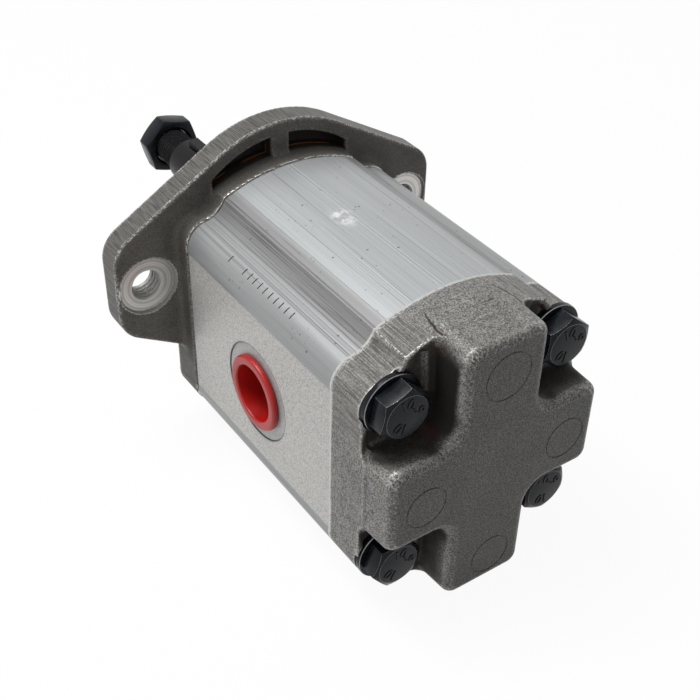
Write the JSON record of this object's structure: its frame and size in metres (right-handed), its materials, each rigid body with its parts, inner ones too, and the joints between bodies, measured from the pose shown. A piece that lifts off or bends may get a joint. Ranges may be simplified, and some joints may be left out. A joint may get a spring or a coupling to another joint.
{
  "type": "hydraulic fan motor",
  "caption": "External gear fan motor with extruded body, cross-shaped rear cover, two-ear mounting flange, side ports with plugs and a tapered keyed shaft.",
  "frame": {"origin": "where the drive shaft's axis meets the rear cover's outer face", "axes": "+Y along the drive shaft to its tapered, threaded end, +Z from the driven gear to the drive gear, +X across the ports to the right-hand port"},
  "size_m": [0.1294, 0.2133, 0.1134],
  "materials": {
    "cast_iron": "as cast and machined, lightly oiled",
    "extruded_aluminium": "extruded, port sides milled",
    "bearing_alloy": "machined",
    "ground_steel": "ground",
    "black_oxide_steel": "black oxide",
    "bronze": "machined",
    "nitrile_rubber": "moulded",
    "seal_rubber": "moulded",
    "brass_cage": "pressed, with steel balls",
    "red_plastic": "moulded"
  },
  "bodies": {
    "housing": {"mounting_flange": "cast_iron", "gear_housing": "extruded_aluminium", "rear_cover": "cast_iron", "cover_bolt_1": "black_oxide_steel", "cover_bolt_2": "black_oxide_steel", "cover_bolt_3": "black_oxide_steel", "cover_bolt_4": "black_oxide_steel", "cover_washer_1": "black_oxide_steel", "cover_washer_2": "black_oxide_steel", "cover_washer_3": "black_oxide_steel", "cover_washer_4": "black_oxide_steel", "dowel_pin_1": "ground_steel", "dowel_pin_2": "ground_steel", "dowel_pin_3": "ground_steel", "dowel_pin_4": "ground_steel", "rear_bearing_block": "bearing_alloy", "front_bearing_block": "bearing_alloy", "rear_drive_liner": "bronze", "rear_driven_liner": "bronze", "front_drive_liner": "bronze", "front_driven_liner": "bronze", "rear_housing_seal": "nitrile_rubber", "front_housing_seal": "nitrile_rubber", "rear_pressure_seal": "seal_rubber", "front_pressure_seal": "seal_rubber", "shaft_lip_seal": "nitrile_rubber", "seal_retaining_ring": "ground_steel", "bearing_retaining_ring": "ground_steel", "bearing_outer_race": "ground_steel", "bearing_front_shield": "ground_steel", "bearing_rear_shield": "ground_steel"},
    "drive_shaft": {"drive_gear_shaft": "black_oxide_steel", "bearing_inner_race": "ground_steel", "woodruff_key": "ground_steel", "shaft_nut": "black_oxide_steel"},
    "driven_shaft": {"driven_gear": "ground_steel"},
    "ball_cage": {"bearing_ball_cage": "brass_cage"},
    "left_plug": {"port_plug_left": "red_plastic"},
    "right_plug": {"port_plug_right": "red_plastic"}
  },
  "joints": [
    {"name": "drive_shaft_spin", "type": "hinge", "parent": "housing", "child": "drive_shaft", "pos_m": [0, 0.1, 0], "axis": [0, 1, 0], "continuous": true},
    {"name": "driven_gear_spin", "type": "hinge", "parent": "housing", "child": "driven_shaft", "pos_m": [0, 0.1, -0.03174], "axis": [0, 1, 0], "continuous": true},
    {"name": "ball_cage_spin", "type": "hinge", "parent": "housing", "child": "ball_cage", "pos_m": [0, 0.1357, 0], "axis": [0, 1, 0], "continuous": true},
    {"name": "left_plug_pull", "type": "slide", "parent": "housing", "child": "left_plug", "axis": [-1, 0, 0], "range_m": [0, 0.02]},
    {"name": "right_plug_pull", "type": "slide", "parent": "housing", "child": "right_plug", "axis": [1, 0, 0], "range_m": [0, 0.02]}
  ],
  "couplings": [
    {"joint": "driven_gear_spin", "follows": "drive_shaft_spin", "ratio": -1},
    {"joint": "ball_cage_spin", "follows": "drive_shaft_spin", "ratio": 0.3976}
  ]
}
